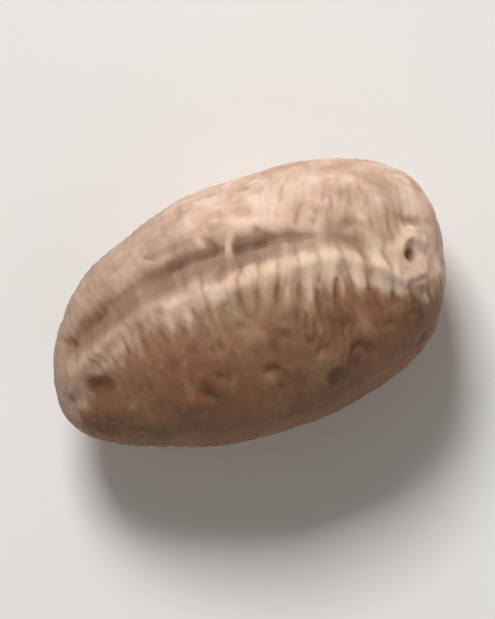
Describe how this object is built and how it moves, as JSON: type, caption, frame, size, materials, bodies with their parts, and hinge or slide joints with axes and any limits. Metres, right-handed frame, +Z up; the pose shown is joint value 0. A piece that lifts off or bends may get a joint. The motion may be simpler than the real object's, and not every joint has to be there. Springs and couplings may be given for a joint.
{
  "type": "calabash nutmeg seed",
  "caption": "Whole dried calabash nutmeg seed: egg-shaped, with a lengthwise seam between raised lips, ribs across it and a ring-shaped scar at the blunt end.",
  "frame": {"origin": "bottom centre of the bounding box, on the surface that the seed rests on", "axes": "+X along the seed towards its blunt end, which carries the scar; +Z up, with the seam's upper run leaning towards +Y"},
  "size_m": [0.0202, 0.0124, 0.0116],
  "materials": {
    "seed_coat": "dry, dull seed coat, mottled cream and brown"
  },
  "bodies": {
    "root": {"calabash_nutmeg": "seed_coat"}
  },
  "joints": []
}
